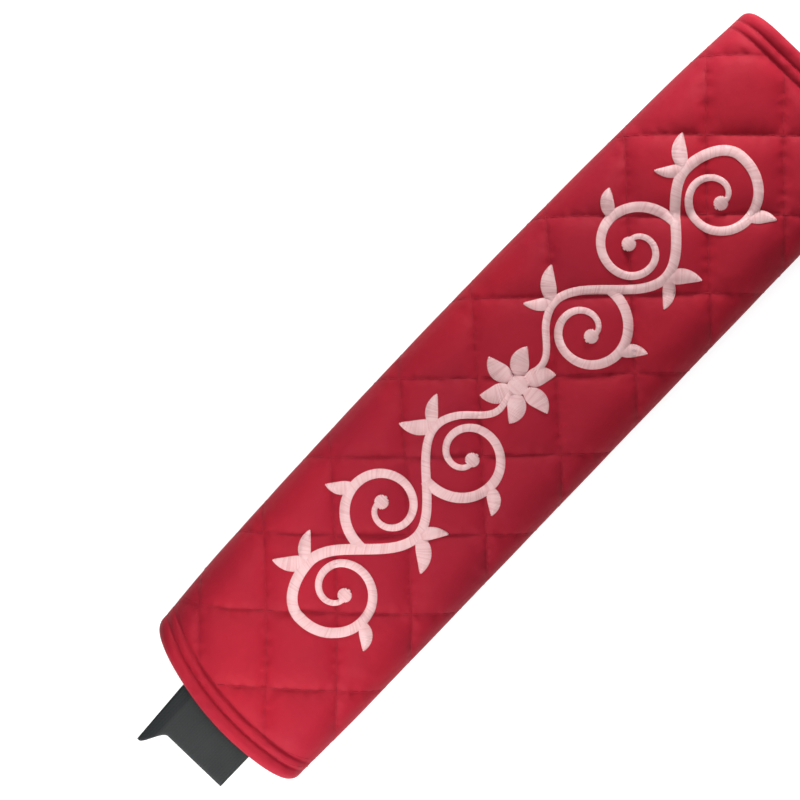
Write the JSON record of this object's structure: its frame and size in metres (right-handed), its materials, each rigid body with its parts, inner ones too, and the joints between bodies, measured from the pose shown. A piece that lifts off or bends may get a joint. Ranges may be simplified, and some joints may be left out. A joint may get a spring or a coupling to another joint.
{
  "type": "seat belt shoulder pad",
  "caption": "Quilted fabric sleeve with foam padding that closes round a car seat belt with hook and loop tape, with a raised embroidered scroll.",
  "frame": {"origin": "on the flat back of the outer flap, in the middle of the sleeve's length and width", "axes": "+X along the belt towards the plain end, +Y across the belt towards the bowed long side, +Z out of the quilted front"},
  "size_m": [0.2903, 0.0669, 0.025],
  "materials": {
    "cover_fabric": "smooth red microfibre with a soft satin sheen",
    "foam": "open cell foam",
    "lining_mesh": "black knitted lining",
    "closure_tape": "black hook and loop tape",
    "embroidery_thread": "pale pink rayon satin stitch",
    "webbing": "charcoal polyester webbing"
  },
  "bodies": {
    "root": {"quilted_cover": "cover_fabric", "foam_padding": "foam", "inner_lining": "lining_mesh", "embroidered_scroll": "embroidery_thread", "hook_strip": "closure_tape", "loop_strip": "closure_tape", "webbing_tail": "webbing"}
  },
  "joints": []
}
